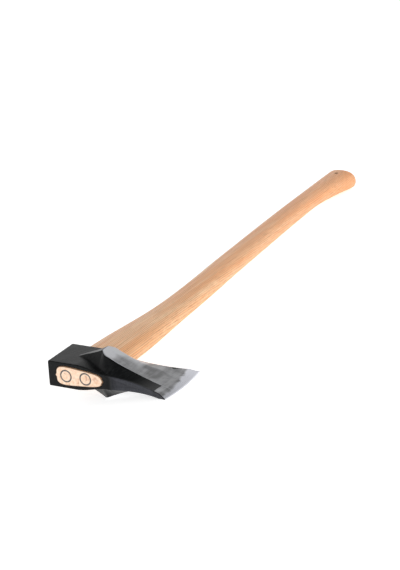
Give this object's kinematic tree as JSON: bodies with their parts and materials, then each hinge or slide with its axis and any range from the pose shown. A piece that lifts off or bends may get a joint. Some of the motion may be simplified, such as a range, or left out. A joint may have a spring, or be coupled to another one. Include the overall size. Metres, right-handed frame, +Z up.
{
  "type": "splitting maul",
  "caption": "Long splitting maul with a winged forged head, a flat poll, a swept hardwood handle with a flared knob and round steel wedges in the eye.",
  "frame": {"origin": "middle of the box that the tool fills as it lies at rest, on the floor under it", "axes": "+Z up from the floor; +Y along the handle from the head to the knob; +X from the poll to the cutting edge. The tool lies on its lower wing ridge, its cutting edge near the heel and its knob, so its middle plane leans about 16 degrees down towards the edge"},
  "size_m": [0.1912, 0.91, 0.071],
  "materials": {
    "head_paint": "satin black paint over forged steel; the hollow faces and the edge are ground bare",
    "handle_wood": "smooth oiled hardwood with a fine straight grain",
    "wedge_steel": "bare driven steel"
  },
  "bodies": {
    "root": {"head": "head_paint", "handle": "handle_wood", "ring_wedge_rear": "wedge_steel", "ring_wedge_front": "wedge_steel"}
  },
  "joints": []
}
